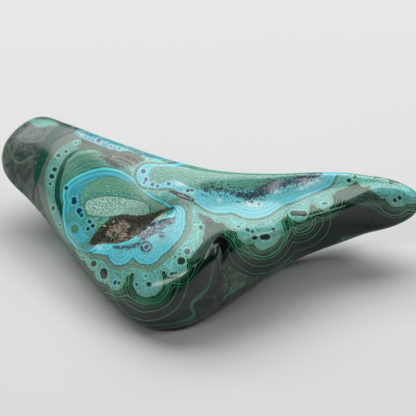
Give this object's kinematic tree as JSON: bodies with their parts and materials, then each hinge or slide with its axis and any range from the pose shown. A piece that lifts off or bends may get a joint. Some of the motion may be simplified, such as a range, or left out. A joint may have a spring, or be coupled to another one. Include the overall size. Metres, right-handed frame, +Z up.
{
  "type": "polished chrysocolla and malachite specimen",
  "caption": "Polished mineral freeform shaped like a bent wing, banded sky blue, turquoise and dark green, with a small crystal pocket and a notched ridge.",
  "frame": {"origin": "centre of the bounding box's underside, level with the flat that the stone rests on", "axes": "+X along the longest side, from the round lobe to the slim arm; +Z up; the elbow and the ridge face -Y"},
  "size_m": [0.0956, 0.061, 0.0243],
  "materials": {
    "banded_stone": "polished"
  },
  "bodies": {
    "root": {"chrysocolla_stone": "banded_stone"}
  },
  "joints": []
}
